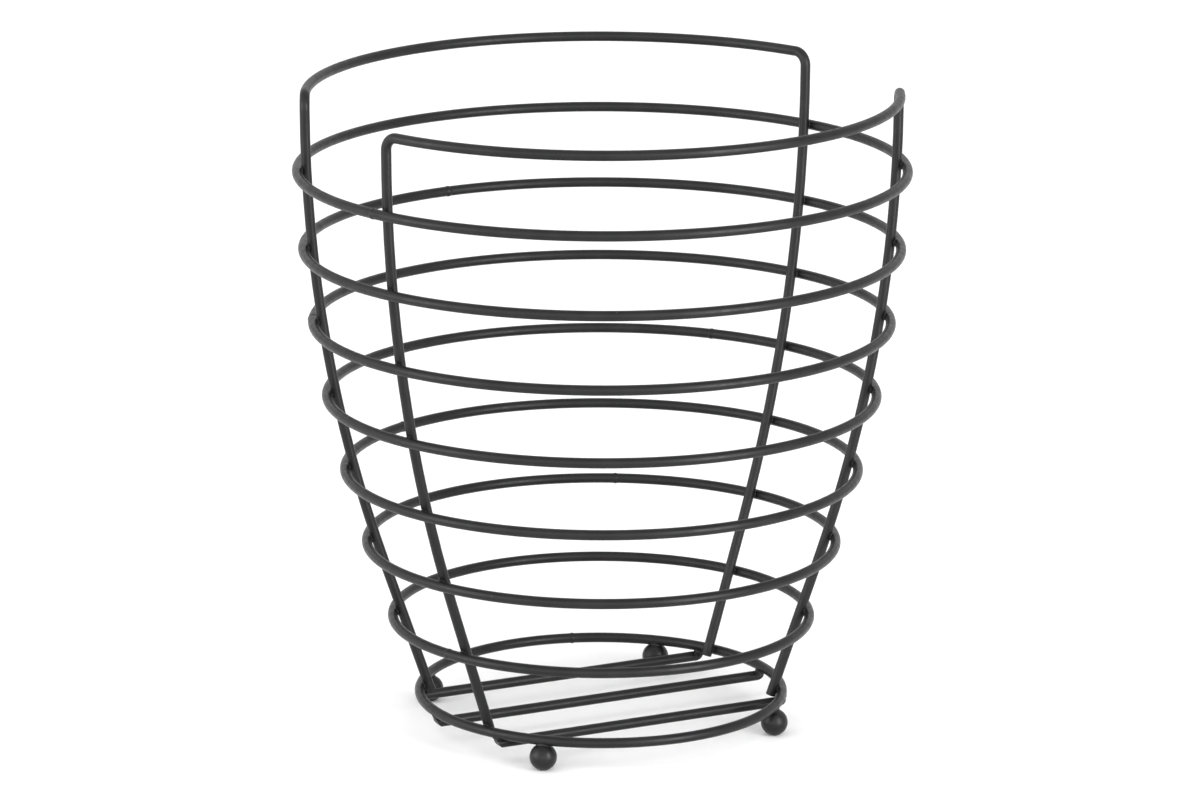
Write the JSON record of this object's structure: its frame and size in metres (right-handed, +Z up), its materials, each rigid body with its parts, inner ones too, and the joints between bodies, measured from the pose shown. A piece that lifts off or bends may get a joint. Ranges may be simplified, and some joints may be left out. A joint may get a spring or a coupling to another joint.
{
  "type": "wire produce basket",
  "caption": "Tall tapering open basket of welded black wire rings on bent frame wires, with a raised split rim, straight base bars and ball feet.",
  "frame": {"origin": "on the basket's own axis, at the table top that the feet stand on", "axes": "+Z up the basket's axis; +X towards the middle of one of the two gaps in the rim, and within a few degrees of the base bars; +Y towards the back frame wire"},
  "size_m": [0.2536, 0.2536, 0.2678],
  "materials": {
    "wire_coat": "satin",
    "foot_coat": "satin",
    "weld_coat": "matte"
  },
  "bodies": {
    "root": {"frame_wire_front": "wire_coat", "frame_wire_back": "wire_coat", "base_ring": "wire_coat", "body_ring_1": "wire_coat", "body_ring_2": "wire_coat", "body_ring_3": "wire_coat", "body_ring_4": "wire_coat", "body_ring_5": "wire_coat", "body_ring_6": "wire_coat", "body_ring_7": "wire_coat", "base_bar_front": "wire_coat", "base_bar_middle": "wire_coat", "base_bar_back": "wire_coat", "foot_front_left": "foot_coat", "foot_front_right": "foot_coat", "foot_back_left": "foot_coat", "foot_back_right": "foot_coat", "ring_welds_front_left": "weld_coat", "ring_welds_front_right": "weld_coat", "ring_welds_back_left": "weld_coat", "ring_welds_back_right": "weld_coat", "bar_welds": "weld_coat", "foot_welds": "weld_coat"}
  },
  "joints": []
}
